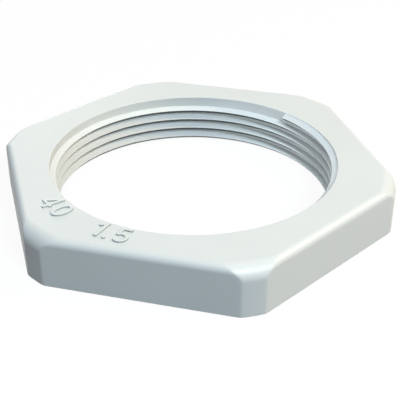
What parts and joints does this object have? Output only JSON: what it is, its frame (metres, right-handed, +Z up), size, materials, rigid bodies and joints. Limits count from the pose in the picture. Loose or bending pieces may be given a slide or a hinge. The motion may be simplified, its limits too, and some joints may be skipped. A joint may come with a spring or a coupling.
{
  "type": "cable gland locknut",
  "caption": "Flat hexagonal plastic locknut with a wide threaded bore and rounded corners, for holding a cable gland in a box wall.",
  "frame": {"origin": "on the thread axis, in the flat bearing face the nut lies on", "axes": "+Z up along the thread axis, out of the rounded top face; one pair of spanner flats faces -Y and +Y"},
  "size_m": [0.056, 0.05, 0.007],
  "materials": {
    "locknut": "smooth moulded, slightly glossy light grey"
  },
  "bodies": {
    "root": {"locknut": "locknut"}
  },
  "joints": []
}
